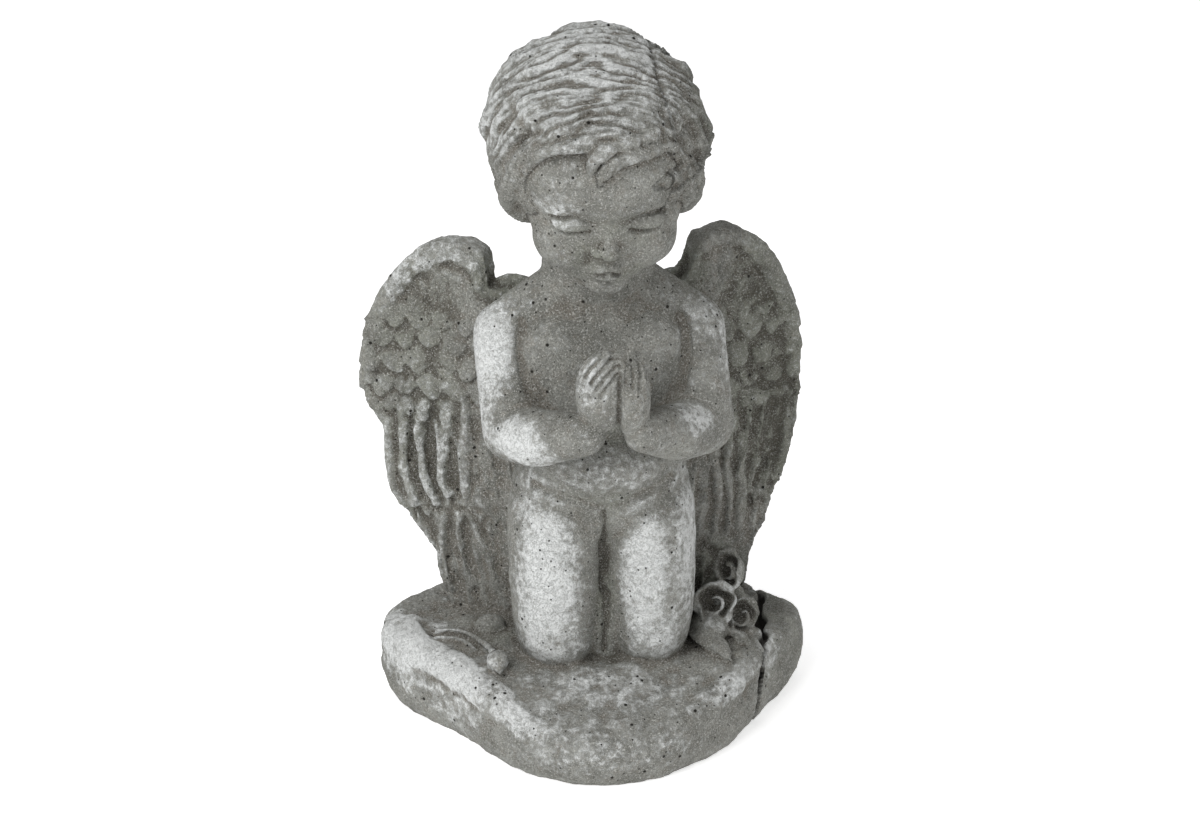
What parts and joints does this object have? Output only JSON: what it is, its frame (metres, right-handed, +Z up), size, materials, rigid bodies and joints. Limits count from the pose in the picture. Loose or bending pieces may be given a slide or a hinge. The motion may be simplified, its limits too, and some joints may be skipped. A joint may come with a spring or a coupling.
{
  "type": "cemetery angel statue",
  "caption": "Small cast-concrete grave ornament: a kneeling cherub with folded wings and joined hands on a rock base, with roses at its knee.",
  "frame": {"origin": "on the flat underside of the base, below the kneeling figure", "axes": "+Z up; the figure faces -Y, so +X is on the right of someone who looks at its face"},
  "size_m": [0.2048, 0.1537, 0.3307],
  "materials": {
    "cast_concrete": "matte"
  },
  "bodies": {
    "root": {"angel": "cast_concrete"}
  },
  "joints": []
}
